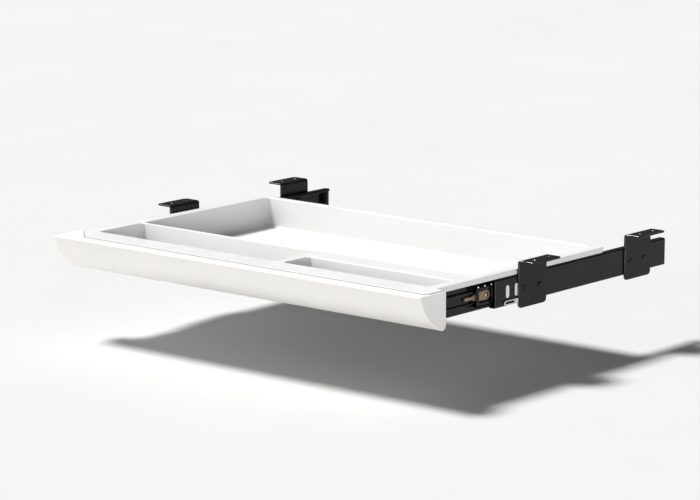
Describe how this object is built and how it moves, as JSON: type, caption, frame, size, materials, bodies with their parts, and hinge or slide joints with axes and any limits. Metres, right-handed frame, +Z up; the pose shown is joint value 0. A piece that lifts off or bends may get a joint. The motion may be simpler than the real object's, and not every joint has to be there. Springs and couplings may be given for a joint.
{
  "type": "under desk drawer",
  "caption": "Shallow pull-out pen drawer with a curved front lip, moulded tray, telescopic ball slides and steel hangers that screw up under a desktop.",
  "frame": {"origin": "centre of the eight desk screws, on the underside of the desktop that the hangers are screwed to", "axes": "+X to the user's right along the front lip, +Y back under the desk, +Z up into the desktop"},
  "size_m": [0.624, 0.516, 0.059],
  "materials": {
    "tray_plastic": "satin moulded white plastic",
    "lip_plastic": "fine-grained warm white plastic",
    "black_steel": "glossy black electrophoretic coat on rolled steel",
    "black_screws": "black oxide",
    "zinc_strip": "bright zinc-plated strip",
    "zinc_screws": "zinc-plated",
    "ball_steel": "polished",
    "white_nylon": "natural nylon",
    "rubber": "matt",
    "lever_plastic": "brown moulded plastic"
  },
  "bodies": {
    "desk_side": {"right_front_hanger": "black_steel", "right_rear_hanger": "black_steel", "right_hanger_screws": "black_screws", "right_outer_rail": "black_steel", "right_front_buffer": "white_nylon", "right_rear_bumper": "rubber", "left_front_hanger": "black_steel", "left_rear_hanger": "black_steel", "left_hanger_screws": "black_screws", "left_outer_rail": "black_steel", "left_front_buffer": "white_nylon", "left_rear_bumper": "rubber"},
    "drawer": {"tray": "tray_plastic", "front_lip": "lip_plastic", "lip_screws": "zinc_screws", "right_inner_rail": "black_steel", "right_side_plate": "black_steel", "right_rail_screws": "zinc_screws", "right_lever_rivet": "zinc_screws", "left_inner_rail": "black_steel", "left_side_plate": "black_steel", "left_rail_screws": "zinc_screws", "left_lever_rivet": "zinc_screws"},
    "right_outer_race": {"right_outer_cage": "zinc_strip", "right_outer_balls": "ball_steel"},
    "right_middle": {"right_middle_rail": "black_steel"},
    "right_inner_race": {"right_inner_cage": "zinc_strip", "right_inner_balls": "ball_steel"},
    "right_lever": {"right_release_lever": "lever_plastic"},
    "left_outer_race": {"left_outer_cage": "zinc_strip", "left_outer_balls": "ball_steel"},
    "left_middle": {"left_middle_rail": "black_steel"},
    "left_inner_race": {"left_inner_cage": "zinc_strip", "left_inner_balls": "ball_steel"},
    "left_lever": {"left_release_lever": "lever_plastic"}
  },
  "joints": [
    {"name": "drawer_slide", "type": "slide", "parent": "desk_side", "child": "drawer", "axis": [0, -1, 0], "range_m": [-0.11, 0.19]},
    {"name": "right_outer_race_slide", "type": "slide", "parent": "desk_side", "child": "right_outer_race", "axis": [0, -1, 0], "range_m": [-0.0275, 0.0475]},
    {"name": "right_middle_slide", "type": "slide", "parent": "desk_side", "child": "right_middle", "axis": [0, -1, 0], "range_m": [-0.055, 0.095]},
    {"name": "right_inner_race_slide", "type": "slide", "parent": "desk_side", "child": "right_inner_race", "axis": [0, -1, 0], "range_m": [-0.0825, 0.1425]},
    {"name": "left_outer_race_slide", "type": "slide", "parent": "desk_side", "child": "left_outer_race", "axis": [0, -1, 0], "range_m": [-0.0275, 0.0475]},
    {"name": "left_middle_slide", "type": "slide", "parent": "desk_side", "child": "left_middle", "axis": [0, -1, 0], "range_m": [-0.055, 0.095]},
    {"name": "left_inner_race_slide", "type": "slide", "parent": "desk_side", "child": "left_inner_race", "axis": [0, -1, 0], "range_m": [-0.0825, 0.1425]},
    {"name": "right_lever_hinge", "type": "hinge", "parent": "drawer", "child": "right_lever", "pos_m": [0.2773, -0.1885, -0.035], "axis": [1, 0, 0], "range_deg": [-3.5, 3.5], "stiffness_Nm_per_rad": 0.2},
    {"name": "left_lever_hinge", "type": "hinge", "parent": "drawer", "child": "left_lever", "pos_m": [-0.2773, -0.1885, -0.035], "axis": [1, 0, 0], "range_deg": [-3.5, 3.5], "stiffness_Nm_per_rad": 0.2}
  ],
  "couplings": [
    {"joint": "right_outer_race_slide", "follows": "drawer_slide", "ratio": 0.25},
    {"joint": "right_middle_slide", "follows": "drawer_slide", "ratio": 0.5},
    {"joint": "right_inner_race_slide", "follows": "drawer_slide", "ratio": 0.75},
    {"joint": "left_outer_race_slide", "follows": "drawer_slide", "ratio": 0.25},
    {"joint": "left_middle_slide", "follows": "drawer_slide", "ratio": 0.5},
    {"joint": "left_inner_race_slide", "follows": "drawer_slide", "ratio": 0.75}
  ]
}
